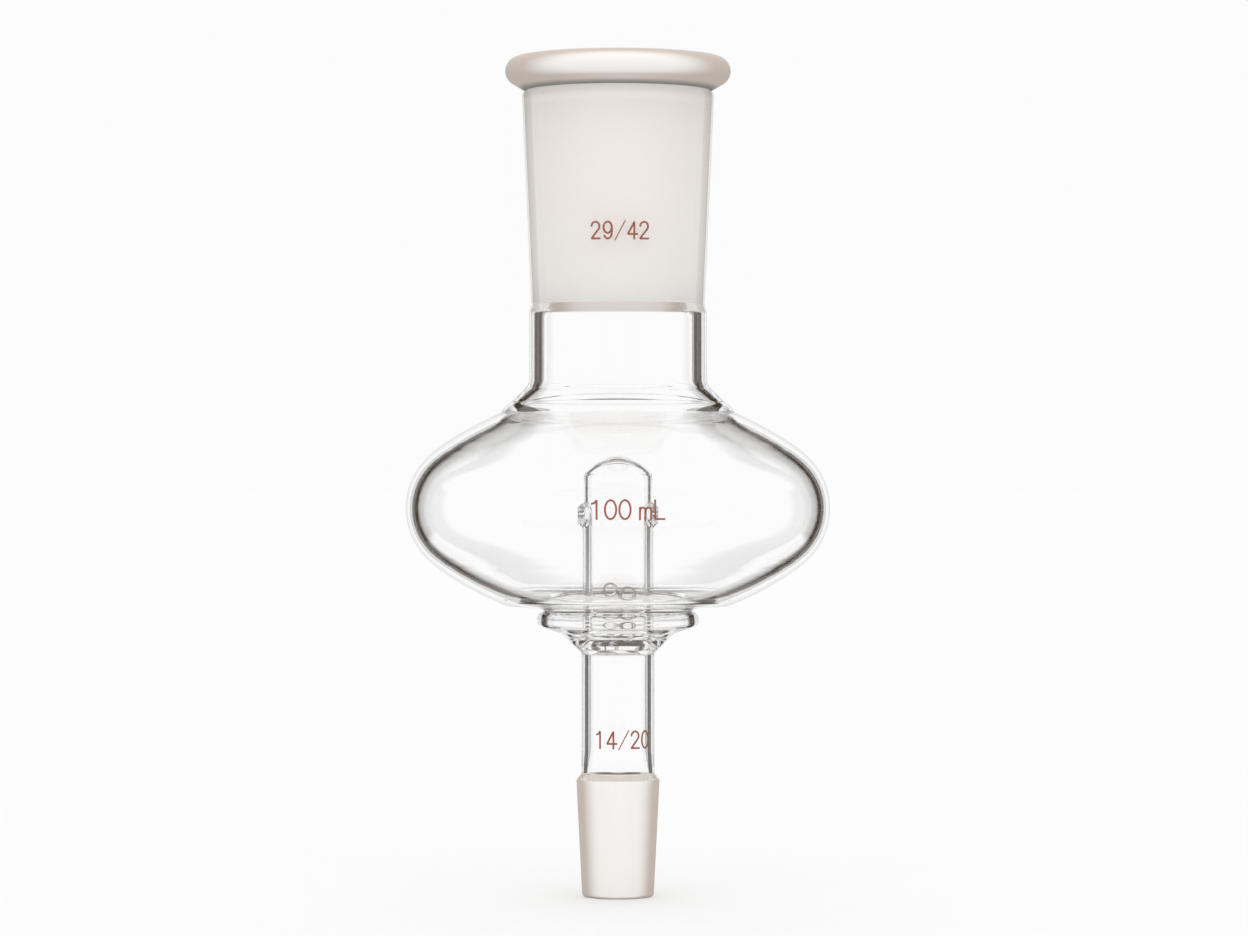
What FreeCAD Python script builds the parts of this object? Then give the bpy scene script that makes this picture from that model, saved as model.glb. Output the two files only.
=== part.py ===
import FreeCAD, Part
import Sketcher
import math
import os

# Anti-splash bulb: one piece of blown borosilicate glass, fused from tubes at the lamp.
# Millimetres, +Z up. The origin is the centre of the upper ground joint's wide end, the
# plane that joints of this standard are gauged at. The front, where the size is printed,
# faces -Y, and the two vapour holes of the inner tube look along +X and -X.
# Heights are chained down from that plane, each from the one before it, so a size can be
# changed by itself and everything below it moves along.

doc = FreeCAD.newDocument("anti_splash_bulb")

driving = {
    # upper ground joint, a 29/42 socket with the standard taper of 1 in 10
    "joint_taper": 0.05,
    "socket_mouth_radius": 14.6,
    "socket_ground_length": 42.0,
    "socket_wall_top": 2.15,
    "socket_wall_end": 2.6,
    "mouth_lip": 1.15,
    "bead_radius": 19.65,
    "bead_round": 2.45,
    "bead_underside_angle": 60.0,
    "groove_cut": 0.65,
    "shoulder_height": 0.75,
    "shoulder_round": 0.9,
    # clear neck and its flared end, welded to the bulb
    "neck_radius": 15.5,
    "neck_wall": 2.15,
    "neck_step": 1.2,
    "neck_step_inside": 1.6,
    "neck_length": 11.8,
    "flare_bend": 2.0,
    "flare_angle": 45.0,
    "flare_reach": 3.1,
    "flare_reach_inside": 3.25,
    "weld_reach": 1.7,
    "weld_drop": 1.84,
    "weld_round": 3.0,
    "weld_reach_inside": 1.7,
    # bulb, an oval turned about its short axis
    "bulb_radius": 37.1,
    "bulb_half_height": 20.6,
    "bulb_edge_round": 12.5,
    "bulb_wall": 2.0,
    "floor_radius": 19.5,
    "floor_fall": 0.4,
    # throat and sump below the bulb
    "throat_radius": 12.94,
    "throat_round": 0.95,
    "throat_entry": 1.0,
    "throat_wall": 1.6,
    "throat_lip": 1.3,
    "sump_drop": 2.05,
    "sump_radius": 14.1,
    "sump_round": 1.4,
    "sump_underside_angle": 75.0,
    "sump_wall": 1.5,
    "sump_pocket_fall": 1.0,
    "funnel_radius": 9.8,
    "funnel_drop": 2.4,
    "funnel_wall": 1.4,
    "trough_radius": 7.4,
    "trough_drop": 0.3,
    "seal_drop": 3.4,
    "seal_bead": 0.35,
    "seal_bead_height": 3.0,
    # lower tube and lower ground joint, a 14/20 cone
    "lower_tube_length": 20.9,
    "lower_tube_radius": 6.375,
    "lower_bore_radius": 5.05,
    "cone_large_radius": 7.25,
    "cone_ground_length": 20.0,
    "cone_shoulder": 1.1,
    "cone_wall": 1.6,
    "cone_bore_flare": 5.0,
    "cone_end_round": 0.4,
    # inner splash tube, closed by a dome
    "tube_radius": 6.2,
    "tube_bore_radius": 4.95,
    "tube_top_radius": 5.95,
    "tube_top_wall": 0.6,
    "tube_neck_in": 2.0,
    "dome_height": 10.5,
    "dome_rise": 3.4,
    "dome_corner": 0.45,
    "dome_wall": 0.7,
    # vapour holes near the dome, with raised fire-polished lips
    "vent_drop": 11.8,
    "vent_radius": 1.2,
    "vent_lip_width": 0.6,
    "vent_lip_reach": 0.8,
    "vent_lip_round": 0.5,
    # drain holes near the foot of the inner tube, turned from the front
    "drain_radius": 1.1,
    "drain_high_rise": 7.1,
    "drain_low_rise": 1.5,
    "drain_turn": 17.0,
}

# Places and radii that follow from the sizes above.
derived = {
    # upper joint
    "axis_radius": "0",
    "gauge_plane": "0",
    "rim_top": "Sizes.mouth_lip",
    "rim_clear": "Sizes.mouth_lip + 1",
    "mouth_edge": "Sizes.socket_mouth_radius + Sizes.mouth_lip",
    "bead_middle": "Sizes.bead_radius - Sizes.bead_round",
    "bead_height": "rim_top - Sizes.bead_round",
    "bead_low_radius": "bead_middle + Sizes.bead_round * cos(Sizes.bead_underside_angle)",
    "bead_low": "bead_height - Sizes.bead_round * sin(Sizes.bead_underside_angle)",
    "socket_top_radius": "Sizes.socket_mouth_radius + Sizes.socket_wall_top",
    "groove_radius": "socket_top_radius - Sizes.groove_cut",
    "groove": "bead_low - (bead_low_radius - groove_radius) / tan(Sizes.bead_underside_angle)",
    "shoulder": "groove - Sizes.shoulder_height",
    "socket_end": "-Sizes.socket_ground_length",
    "socket_end_bore": "Sizes.socket_mouth_radius - Sizes.socket_ground_length * Sizes.joint_taper",
    "socket_end_radius": "socket_end_bore + Sizes.socket_wall_end",
    # neck
    "neck_top": "socket_end - Sizes.neck_step",
    "neck_low": "neck_top - Sizes.neck_length",
    "neck_bore": "Sizes.neck_radius - Sizes.neck_wall",
    "neck_bore_top": "socket_end - Sizes.neck_step_inside",
    "flare_bend_inside": "Sizes.flare_bend + Sizes.neck_wall",
    "flare_start_radius": "Sizes.neck_radius + Sizes.flare_bend * (1 - cos(Sizes.flare_angle))",
    "flare_start": "neck_low - Sizes.flare_bend * sin(Sizes.flare_angle)",
    "flare_radius": "Sizes.neck_radius + Sizes.flare_reach",
    "flare_end": "flare_start - (flare_radius - flare_start_radius) / tan(Sizes.flare_angle)",
    "flare_start_radius_inside": "neck_bore + flare_bend_inside * (1 - cos(Sizes.flare_angle))",
    "flare_start_inside": "neck_low - flare_bend_inside * sin(Sizes.flare_angle)",
    "flare_radius_inside": "neck_bore + Sizes.flare_reach_inside",
    "flare_end_inside": "flare_start_inside"
                        " - (flare_radius_inside - flare_start_radius_inside) / tan(Sizes.flare_angle)",
    # bulb: the oval's edge arc meets a flatter arc above and below, with a shared tangent
    "edge_middle": "Sizes.bulb_radius - Sizes.bulb_edge_round",
    "bulb_crown": "(edge_middle ^ 2 + Sizes.bulb_half_height ^ 2 - Sizes.bulb_edge_round ^ 2)"
                  " / (2 * (Sizes.bulb_half_height - Sizes.bulb_edge_round))",
    "crown_offset": "bulb_crown - Sizes.bulb_half_height",
    "crown_share": "edge_middle / (bulb_crown - Sizes.bulb_edge_round)",
    "crown_rise": "crown_offset / (bulb_crown - Sizes.bulb_edge_round)",
    "edge_inside": "Sizes.bulb_edge_round - Sizes.bulb_wall",
    "crown_inside": "bulb_crown - Sizes.bulb_wall",
    "weld_radius": "flare_radius + Sizes.weld_reach",
    "weld_radius_inside": "flare_radius_inside + Sizes.weld_reach_inside",
    "weld": "flare_end - Sizes.weld_drop",
    "bulb_middle": "weld + crown_offset - sqrt(bulb_crown ^ 2 - weld_radius ^ 2)",
    "edge_end_radius": "bulb_crown * crown_share",
    "edge_top": "bulb_middle - crown_offset + bulb_crown * crown_rise",
    "edge_low": "bulb_middle + crown_offset - bulb_crown * crown_rise",
    "edge_end_radius_inside": "crown_inside * crown_share",
    "edge_top_inside": "bulb_middle - crown_offset + crown_inside * crown_rise",
    "edge_low_inside": "bulb_middle + crown_offset - crown_inside * crown_rise",
    "weld_inside": "bulb_middle - crown_offset + sqrt(crown_inside ^ 2 - weld_radius_inside ^ 2)",
    "floor": "bulb_middle + crown_offset - sqrt(bulb_crown ^ 2 - Sizes.floor_radius ^ 2)",
    "floor_radius_inside": "Sizes.floor_radius * crown_inside / bulb_crown",
    "floor_inside": "bulb_middle + crown_offset - sqrt(crown_inside ^ 2 - floor_radius_inside ^ 2)",
    # throat and sump
    "throat_entry_radius": "Sizes.throat_radius + Sizes.throat_entry",
    "throat_entry_place": "floor - Sizes.floor_fall",
    "sump_middle": "Sizes.sump_radius - Sizes.sump_round",
    "sump_height": "throat_entry_place - Sizes.sump_drop",
    "throat": "sump_height + sqrt(Sizes.sump_round ^ 2 - (Sizes.throat_radius - sump_middle) ^ 2)",
    "sump_low_radius": "sump_middle + Sizes.sump_round * cos(Sizes.sump_underside_angle)",
    "sump_low": "sump_height - Sizes.sump_round * sin(Sizes.sump_underside_angle)",
    "throat_bore": "Sizes.throat_radius - Sizes.throat_wall",
    "throat_lip_radius": "throat_bore + Sizes.throat_lip",
    "throat_lip_place": "throat_entry_place + Sizes.throat_wall",
    "throat_lip_low": "throat_lip_place - Sizes.throat_lip",
    "sump_bore": "Sizes.sump_radius - Sizes.sump_wall",
    "sump_pocket": "sump_height",
    "sump_pocket_radius": "sump_bore - Sizes.sump_pocket_fall",
    "sump_pocket_low": "sump_height - Sizes.sump_pocket_fall",
    "funnel": "sump_height - Sizes.funnel_drop",
    "funnel_radius_inside": "Sizes.funnel_radius - Sizes.funnel_wall * 0.5",
    "funnel_inside": "funnel + Sizes.funnel_wall",
    "trough": "funnel - Sizes.trough_drop",
    "trough_side": "trough + Sizes.trough_radius - Sizes.tube_radius",
    "trough_round": "Sizes.trough_radius - Sizes.tube_radius",
    "seal": "funnel - Sizes.seal_drop",
    # lower tube and cone
    "cone_shoulder_top": "seal - Sizes.lower_tube_length",
    "cone_top": "cone_shoulder_top - Sizes.cone_shoulder",
    "cone_ground_low": "cone_top - Sizes.cone_ground_length",
    "cone_end": "cone_ground_low - Sizes.cone_end_round",
    "cone_small_radius": "Sizes.cone_large_radius - Sizes.cone_ground_length * Sizes.joint_taper",
    "cone_tip_radius": "cone_small_radius - Sizes.cone_end_round",
    "cone_bore_top_radius": "Sizes.cone_large_radius - Sizes.cone_wall",
    "cone_bore_end_radius": "cone_small_radius - Sizes.cone_wall",
    "cone_flare_top": "cone_top + Sizes.cone_bore_flare",
    "below_cone": "cone_end - 1",
    # inner tube
    "dome_top": "bulb_middle + Sizes.dome_height",
    "dome_edge_radius": "Sizes.tube_top_radius - Sizes.dome_corner * 0.4",
    "dome_edge": "dome_top - Sizes.dome_rise",
    "dome_bend": "(dome_edge_radius ^ 2 + Sizes.dome_rise ^ 2) / (2 * Sizes.dome_rise)",
    "dome_side": "dome_edge - Sizes.dome_corner",
    "dome_top_inside": "dome_top - Sizes.dome_wall",
    "tube_top_bore": "Sizes.tube_top_radius - Sizes.tube_top_wall",
    "dome_edge_radius_inside": "dome_edge_radius - Sizes.dome_wall * 0.6",
    "dome_edge_inside": "dome_edge - Sizes.dome_wall * 0.8",
    "dome_bend_inside": "(dome_edge_radius_inside ^ 2 + (dome_top_inside - dome_edge_inside) ^ 2)"
                        " / (2 * (dome_top_inside - dome_edge_inside))",
    "dome_side_inside": "dome_side - Sizes.dome_wall * 0.3",
    "vent": "dome_top - Sizes.vent_drop",
    "tube_neck_top": "vent + Sizes.tube_neck_in",
    "tube_neck_low": "vent - Sizes.tube_neck_in",
    "seal_bead_top": "trough - 0.2",
    "seal_bead_middle": "seal_bead_top - Sizes.seal_bead_height / 2",
    "seal_bead_low": "seal_bead_top - Sizes.seal_bead_height",
    "seal_bead_bore": "Sizes.tube_bore_radius - Sizes.seal_bead",
    "vent_lip_radius": "Sizes.vent_radius + Sizes.vent_lip_width",
    "vent_lip_span": "2 * (Sizes.tube_radius + Sizes.vent_lip_reach)",
    "vent_cut_span": "vent_lip_span + 2",
    "drain_high": "trough + Sizes.drain_high_rise",
    "drain_low": "trough + Sizes.drain_low_rise",
    "drain_cut_span": "2 * Sizes.tube_radius + 1",
}


def fill_sheet(name, cells, mark):
    sheet = doc.addObject("Spreadsheet::Sheet", name)
    for row, (alias, content) in enumerate(cells.items(), start=1):
        sheet.set(f"A{row}", alias)
        sheet.set(f"B{row}", mark + str(content))
        sheet.setAlias(f"B{row}", alias)
    return sheet


sizes = fill_sheet("Sizes", driving, "")
places = fill_sheet("Places", derived, "=")
doc.recompute()


# The text that binds a property to a cell, and the cell's number now.
def cell(alias):
    sheet = sizes if alias in driving else places
    return f"{sheet.Name}.{alias}", float(getattr(sheet, alias))


def add_body(name):
    body = doc.addObject("PartDesign::Body", name)
    body.Label = name
    doc.recompute()
    return body


def add_sketch(body, name, role):
    plane = [part for part in body.Origin.OriginFeatures if part.Role == role][0]
    sketch = body.newObject("Sketcher::SketchObject", name)
    sketch.AttachmentSupport = [(plane, "")]
    sketch.MapMode = "FlatFace"
    return sketch


# Fixes one end of a piece of the outline at two cells: its radius and its height.
def pin_point(sketch, curve, end, radius_cell, height_cell, label):
    for kind, alias in (("DistanceX", radius_cell), ("DistanceY", height_cell)):
        binding, value = cell(alias)
        number = sketch.addConstraint(Sketcher.Constraint(kind, -1, 1, curve, end, value))
        sketch.renameConstraint(number, f"{label}_{kind[-1]}")
        sketch.setExpression(f"Constraints.{label}_{kind[-1]}", binding)


# Half a cross-section, drawn corner by corner. A corner is its radius cell, its height cell
# and the way on to the next corner: None for a straight line, or the cell of a bend's radius
# and the side it bulges to, 1 for left and -1 for right of the way drawn.
def draw_outline(sketch, corners):
    points = []
    for radius_cell, height_cell, way in corners:
        points.append(FreeCAD.Vector(cell(radius_cell)[1], cell(height_cell)[1], 0))
    curves = []
    for number, (radius_cell, height_cell, way) in enumerate(corners):
        start = points[number]
        stop = points[(number + 1) % len(points)]
        if way is None:
            curves.append(sketch.addGeometry(Part.LineSegment(start, stop), False))
            continue
        chord = stop - start
        bend = max(cell(way[0])[1], chord.Length / 2)
        left = FreeCAD.Vector(-chord.y, chord.x, 0).normalize()
        bulge = bend - math.sqrt(bend ** 2 - (chord.Length / 2) ** 2)
        middle = start + chord * 0.5 + left * (way[1] * bulge)
        curves.append(sketch.addGeometry(Part.Arc(start, middle, stop), False))
    # an arc runs anticlockwise, so its first end is the corner it was drawn from only
    # when it bulges to the right
    ends = []
    for radius_cell, height_cell, way in corners:
        ends.append((1, 2) if way is None or way[1] < 0 else (2, 1))
    for number, curve in enumerate(curves):
        last = number - 1
        joint = Sketcher.Constraint("Coincident", curves[last], ends[last][1], curve, ends[number][0])
        sketch.addConstraint(joint)
        radius_cell, height_cell, way = corners[number]
        pin_point(sketch, curve, ends[number][0], radius_cell, height_cell, f"corner{number}")
        if way is not None:
            binding, value = cell(way[0])
            bend = sketch.addConstraint(Sketcher.Constraint("Radius", curve, value))
            sketch.renameConstraint(bend, f"bend{number}")
            sketch.setExpression(f"Constraints.bend{number}", binding)
    doc.recompute()


# Turns half a cross-section about the upright axis: new glass, or a hollow in it.
def turn(body, name, kind, corners):
    sketch = add_sketch(body, name + "_outline", "XZ_Plane")
    draw_outline(sketch, corners)
    feature = body.newObject(kind, name)
    feature.Profile = sketch
    feature.ReferenceAxis = (sketch, ["V_Axis"])
    feature.Angle = 360
    doc.recompute()
    return feature


# Round holes or bosses straight through the upright axis, the same length either side.
def through_axis(body, name, kind, role, turned_by, radius_cell, height_cells, span_cell):
    sketch = add_sketch(body, name + "_outline", role)
    if turned_by:
        sketch.setExpression("AttachmentOffset.Rotation.Angle", cell(turned_by)[0])
        sketch.AttachmentOffset.Rotation = FreeCAD.Rotation(FreeCAD.Vector(0, 1, 0), cell(turned_by)[1])
    for number, height_cell in enumerate(height_cells):
        height_binding, height = cell(height_cell)
        radius_binding, radius = cell(radius_cell)
        middle = FreeCAD.Vector(0, height, 0)
        curve = sketch.addGeometry(Part.Circle(middle, FreeCAD.Vector(0, 0, 1), radius), False)
        sketch.addConstraint(Sketcher.Constraint("PointOnObject", curve, 3, -2))
        place = sketch.addConstraint(Sketcher.Constraint("DistanceY", -1, 1, curve, 3, height))
        sketch.renameConstraint(place, f"height{number}")
        sketch.setExpression(f"Constraints.height{number}", height_binding)
        size = sketch.addConstraint(Sketcher.Constraint("Radius", curve, radius))
        sketch.renameConstraint(size, f"radius{number}")
        sketch.setExpression(f"Constraints.radius{number}", radius_binding)
    doc.recompute()
    feature = body.newObject(kind, name)
    feature.Profile = sketch
    feature.Type = "Length"
    feature.Midplane = True
    feature.setExpression("Length", cell(span_cell)[0])
    doc.recompute()
    return feature


# The outside of the glass: bead, socket, neck, bulb, sump, lower tube and cone.
def blow_outside(body):
    turn(body, "outside", "PartDesign::Revolution", [
        ("axis_radius", "rim_top", None),
        ("bead_middle", "rim_top", ("bead_round", 1)),
        ("bead_low_radius", "bead_low", None),
        ("groove_radius", "groove", ("shoulder_round", 1)),
        ("socket_top_radius", "shoulder", None),
        ("socket_end_radius", "socket_end", None),
        ("neck_radius", "neck_top", None),
        ("neck_radius", "neck_low", ("flare_bend", -1)),
        ("flare_start_radius", "flare_start", None),
        ("flare_radius", "flare_end", ("weld_round", 1)),
        ("weld_radius", "weld", ("bulb_crown", 1)),
        ("edge_end_radius", "edge_top", ("bulb_edge_round", 1)),
        ("edge_end_radius", "edge_low", ("bulb_crown", 1)),
        ("floor_radius", "floor", None),
        ("throat_entry_radius", "throat_entry_place", ("throat_round", -1)),
        ("throat_radius", "throat", ("sump_round", 1)),
        ("sump_low_radius", "sump_low", None),
        ("funnel_radius", "funnel", None),
        ("lower_tube_radius", "seal", None),
        ("lower_tube_radius", "cone_shoulder_top", None),
        ("cone_large_radius", "cone_top", None),
        ("cone_small_radius", "cone_ground_low", None),
        ("cone_tip_radius", "cone_end", None),
        ("axis_radius", "cone_end", None),
    ])


# The hollow from the mouth down to the sump, round the solid core of the inner tube.
def open_inside(body):
    turn(body, "inside", "PartDesign::Groove", [
        ("axis_radius", "rim_clear", None),
        ("axis_radius", "dome_top", ("dome_bend", 1)),
        ("dome_edge_radius", "dome_edge", ("dome_corner", 1)),
        ("tube_top_radius", "dome_side", None),
        ("tube_top_radius", "tube_neck_top", None),
        ("tube_radius", "tube_neck_low", None),
        ("tube_radius", "trough_side", ("trough_round", -1)),
        ("trough_radius", "trough", None),
        ("funnel_radius_inside", "funnel_inside", None),
        ("sump_pocket_radius", "sump_pocket_low", ("sump_pocket_fall", -1)),
        ("sump_bore", "sump_pocket", None),
        ("throat_bore", "throat_lip_low", ("throat_lip", 1)),
        ("throat_lip_radius", "throat_lip_place", None),
        ("floor_radius_inside", "floor_inside", ("crown_inside", -1)),
        ("edge_end_radius_inside", "edge_low_inside", ("edge_inside", -1)),
        ("edge_end_radius_inside", "edge_top_inside", ("crown_inside", -1)),
        ("weld_radius_inside", "weld_inside", None),
        ("flare_radius_inside", "flare_end_inside", None),
        ("flare_start_radius_inside", "flare_start_inside", ("flare_bend_inside", 1)),
        ("neck_bore", "neck_low", None),
        ("neck_bore", "neck_bore_top", None),
        ("socket_end_bore", "socket_end", None),
        ("socket_mouth_radius", "gauge_plane", ("mouth_lip", 1)),
        ("mouth_edge", "rim_top", None),
        ("mouth_edge", "rim_clear", None),
    ])


# The way through the cone and the lower tube, up to the dome of the inner tube.
def open_tube(body):
    turn(body, "tube_bore", "PartDesign::Groove", [
        ("axis_radius", "below_cone", None),
        ("cone_bore_end_radius", "below_cone", None),
        ("cone_bore_end_radius", "cone_end", None),
        ("cone_bore_top_radius", "cone_top", None),
        ("lower_bore_radius", "cone_flare_top", None),
        ("lower_bore_radius", "seal_bead_low", None),
        ("seal_bead_bore", "seal_bead_middle", None),
        ("tube_bore_radius", "seal_bead_top", None),
        ("tube_bore_radius", "tube_neck_low", None),
        ("tube_top_bore", "tube_neck_top", None),
        ("tube_top_bore", "dome_side_inside", None),
        ("dome_edge_radius_inside", "dome_edge_inside", ("dome_bend_inside", -1)),
        ("axis_radius", "dome_top_inside", None),
    ])


# Rounds the outer edge of both lips, found as the circles furthest out on their axis.
def round_lips(body, lips):
    names = []
    for number, edge in enumerate(lips.Shape.Edges, start=1):
        on_lip = abs(edge.CenterOfMass.z - cell("vent")[1]) < 0.01
        far_out = abs(abs(edge.CenterOfMass.x) - cell("vent_lip_span")[1] / 2) < 0.01
        if on_lip and far_out:
            names.append(f"Edge{number}")
    fillet = body.newObject("PartDesign::Fillet", "lip_edges")
    fillet.Base = (lips, names)
    fillet.setExpression("Radius", cell("vent_lip_round")[0])
    doc.recompute()


glass = add_body("glass_body")
blow_outside(glass)
open_inside(glass)
lips = through_axis(glass, "vent_lips", "PartDesign::Pad", "YZ_Plane", None,
                    "vent_lip_radius", ["vent"], "vent_lip_span")
round_lips(glass, lips)
open_tube(glass)
through_axis(glass, "vents", "PartDesign::Pocket", "YZ_Plane", None,
             "vent_radius", ["vent"], "vent_cut_span")
through_axis(glass, "drains", "PartDesign::Pocket", "XZ_Plane", "drain_turn",
             "drain_radius", ["drain_high", "drain_low"], "drain_cut_span")
doc.recompute()

# Nothing is written unless every step worked.
for thing in doc.Objects:
    if "Invalid" in thing.State or "Error" in thing.State:
        raise RuntimeError(f"{thing.Name} failed: {thing.State}")
if glass.Shape.isNull() or not glass.Shape.isValid() or len(glass.Shape.Solids) != 1:
    raise RuntimeError("the glass is not one valid solid")

os.makedirs("parts", exist_ok=True)
glass.Shape.exportStep(f"parts/{glass.Label}.step")
box = glass.Shape.BoundBox
print("glass", round(glass.Shape.Volume, 1), "mm3, height", round(box.ZLength, 2), "mm")
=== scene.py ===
import math
import bpy
import bmesh
import numpy as np
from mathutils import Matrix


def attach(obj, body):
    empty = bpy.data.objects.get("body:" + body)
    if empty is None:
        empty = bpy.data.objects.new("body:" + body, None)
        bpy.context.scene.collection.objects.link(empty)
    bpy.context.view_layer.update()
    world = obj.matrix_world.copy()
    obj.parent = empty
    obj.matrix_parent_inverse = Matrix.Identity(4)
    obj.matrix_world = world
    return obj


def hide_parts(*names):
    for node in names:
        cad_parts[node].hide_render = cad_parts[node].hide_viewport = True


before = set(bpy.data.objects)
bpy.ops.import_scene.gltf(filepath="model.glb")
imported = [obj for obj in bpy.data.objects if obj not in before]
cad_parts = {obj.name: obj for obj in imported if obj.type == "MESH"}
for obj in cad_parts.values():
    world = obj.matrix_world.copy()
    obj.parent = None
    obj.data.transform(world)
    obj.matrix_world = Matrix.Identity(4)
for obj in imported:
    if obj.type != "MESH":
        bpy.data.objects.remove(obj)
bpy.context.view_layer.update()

# Looks of the anti-splash bulb: one piece of blown borosilicate glass with a ground socket on
# top, a ground cone below and three marks of fired enamel. Lengths here are millimetres in the
# CAD's own frame, and become metres when a mesh is made.

mm = 0.001

# Upper joint, from the rim down to the end of its ground zone
socketGlass = {
    "taper": 0.05, "mouthRadius": 14.6, "groundLength": 42.0, "wallTop": 2.15, "wallEnd": 2.6,
    "mouthLip": 1.15, "beadRadius": 19.65, "beadRound": 2.45, "beadUnderside": 60.0,
    "grooveCut": 0.65, "shoulderHeight": 0.75, "shoulderRound": 0.9,
}
# Neck and its flared end, down to the weld
neckGlass = {
    "radius": 15.5, "wall": 2.15, "step": 1.2, "stepInside": 1.6, "length": 11.8, "bend": 2.0,
    "flareAngle": 45.0, "flareReach": 3.1, "flareReachInside": 3.25, "weldReach": 1.7,
    "weldDrop": 1.84, "weldRound": 3.0, "weldReachInside": 1.7,
}
# The bulb is an oval of two radii turned about its short axis. The fades are where its softer
# outline begins and ends.
bulbGlass = {
    "radius": 37.1, "halfHeight": 20.6, "edgeRound": 12.5, "wall": 2.0, "floorRadius": 19.5,
    "floorFall": 0.4, "fadeFoot": (1.0, 4.0), "fadeTop": 2.0, "fadeRadius": 10.0,
}
# Throat, sump and the seal that joins the inner tube to them
sumpGlass = {
    "throatRadius": 12.94, "throatRound": 0.95, "throatEntry": 1.0, "throatWall": 1.6,
    "throatLip": 1.3, "drop": 2.05, "radius": 14.1, "round": 1.4, "underside": 75.0,
    "wall": 1.5, "pocketFall": 1.0, "funnelRadius": 9.8, "funnelDrop": 2.4, "funnelWall": 1.4,
    "funnelWallShare": 0.5, "troughRadius": 7.4, "troughDrop": 0.3, "sealDrop": 3.4,
    "sealBead": 0.35, "sealBeadHeight": 3.0, "sealBeadDrop": 0.2,
}
# Lower tube and its ground cone
coneGlass = {
    "tubeLength": 20.9, "tubeRadius": 6.375, "boreRadius": 5.05, "largeRadius": 7.25,
    "groundLength": 20.0, "shoulder": 1.1, "wall": 1.6, "boreFlare": 5.0, "endRound": 0.4,
}
# Inner splash tube with its dome, its two raised side holes and its four drain holes. The dome's
# last three values are shares of its corner or wall that place the ends of its curves.
innerGlass = {
    "radius": 6.2, "boreRadius": 4.95, "topRadius": 5.95, "topWall": 0.6, "neckIn": 2.0,
    "domeHeight": 10.5, "domeRise": 3.4, "domeCorner": 0.45, "domeWall": 0.7, "domeLean": 0.4,
    "domeWallShares": (0.6, 0.8), "domeSideShare": 0.3,
    "ventDrop": 11.8, "ventAngles": (0.0, 180.0), "ventRadius": 1.2, "ventInnerRound": 0.3,
    "lipRadius": 1.8, "lipReach": 0.8, "lipSpread": 0.8,
    "drainRadius": 1.1, "drainHeights": (1.5, 7.1), "drainAngle": -73.0, "drainLip": 0.22,
    "drainInnerRound": 0.2,
}
# Rows and columns of the mesh. A window is the part of the grid that a hole's rings fill, and its
# margin is what it adds to the hole; rows are closest within a window's zone.
glassMesh = {
    "columns": 200, "rows": 430, "fineStep": 0.05, "softness": 0.16, "bulbSoftness": 1.8,
    "softReach": 4, "longestStep": 2.0, "turnStep": 4.0, "windowStep": 0.12,
    "ventMargin": 0.25, "drainMargin": 0.75, "zoneMargin": 1.0, "ventZone": 7.0, "drainZone": 7.5,
    "ventFlankRings": 9, "drainFlankRings": 6, "lipRings": 11, "roundRings": 6, "wallRings": 5,
}


# Points from a to b on a circle of the given radius; side 1 bulges to the left of the way
# from a to b and -1 to the right. Its middle lies on the chord's bisector.
def arcPoints(a, b, radius, side, step):
    a, b = np.array(a, float), np.array(b, float)
    chord = b - a
    length = np.hypot(*chord)
    radius = max(radius, length / 2)
    left = np.array([-chord[1], chord[0]]) / length
    middle = (a + b) / 2 - side * left * math.sqrt(radius**2 - (length / 2) ** 2)
    half = math.asin(min(1, length / 2 / radius))
    turn = np.linspace(-half, half, max(2, int(2 * half * radius / step)))[:, None]
    return middle + radius * (side * left * np.cos(turn) + chord / length * np.sin(turn))


# The corners in order, joined by straight runs (None) or arcs (radius, side), as fine points.
def drawnPath(corners, step):
    pieces = []
    for (a, way), (b, nextWay) in zip(corners[:-1], corners[1:]):
        if way is None:
            count = max(2, int(math.dist(a, b) / step))
            pieces.append(np.linspace(a, b, count)[:-1])
        else:
            pieces.append(arcPoints(a, b, way[0], way[1], step)[:-1])
    pieces.append(np.array([corners[-1][0]], float))
    return np.concatenate(pieces)


# Path resampled at equal steps, then averaged along its length with a bell curve of the given
# width, out to bellReach widths. Both ends lie on the axis, so the path goes on there as its own
# mirror image.
def softened(path, step, softness, bellReach):
    length = np.concatenate([[0], np.cumsum(np.hypot(*np.diff(path, axis=0).T))])
    at = np.linspace(0, length[-1], int(length[-1] / step))
    even = np.column_stack([np.interp(at, length, path[:, k]) for k in (0, 1)])
    reach = int(bellReach * softness / step)
    mirror = np.array([-1, 1])
    long = np.concatenate([even[reach:0:-1] * mirror, even, even[-2:-reach - 2:-1] * mirror])
    bell = np.exp(-0.5 * (np.arange(-reach, reach + 1) * step / softness) ** 2)
    bell /= bell.sum()
    smooth = np.column_stack([np.convolve(long[:, k], bell, "valid") for k in (0, 1)])
    smooth[[0, -1], 0] = 0
    return smooth


# Rows along the path, closer together where it bends and in the fine zones: equal shares of the
# sum of length over the longest step and turning over the turn step, and inside a zone of length
# over the window step.
def spreadRows(path, mesh, zones):
    piece = np.diff(path, axis=0)
    length = np.hypot(*piece.T)
    heading = np.unwrap(np.arctan2(piece[:, 1], piece[:, 0]))
    turning = np.abs(np.gradient(heading))
    cost = length / mesh["longestStep"] + np.degrees(turning) / mesh["turnStep"]
    middle = (path[1:] + path[:-1]) / 2
    for low, high, within in zones:
        inside = (middle[:, 1] > low) & (middle[:, 1] < high) & (middle[:, 0] < within)
        cost = np.where(inside, length / mesh["windowStep"], cost)
    total = np.concatenate([[0], np.cumsum(cost)])
    at = np.linspace(0, total[-1], mesh["rows"])
    return np.column_stack([np.interp(at, total, path[:, k]) for k in (0, 1)])


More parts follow.
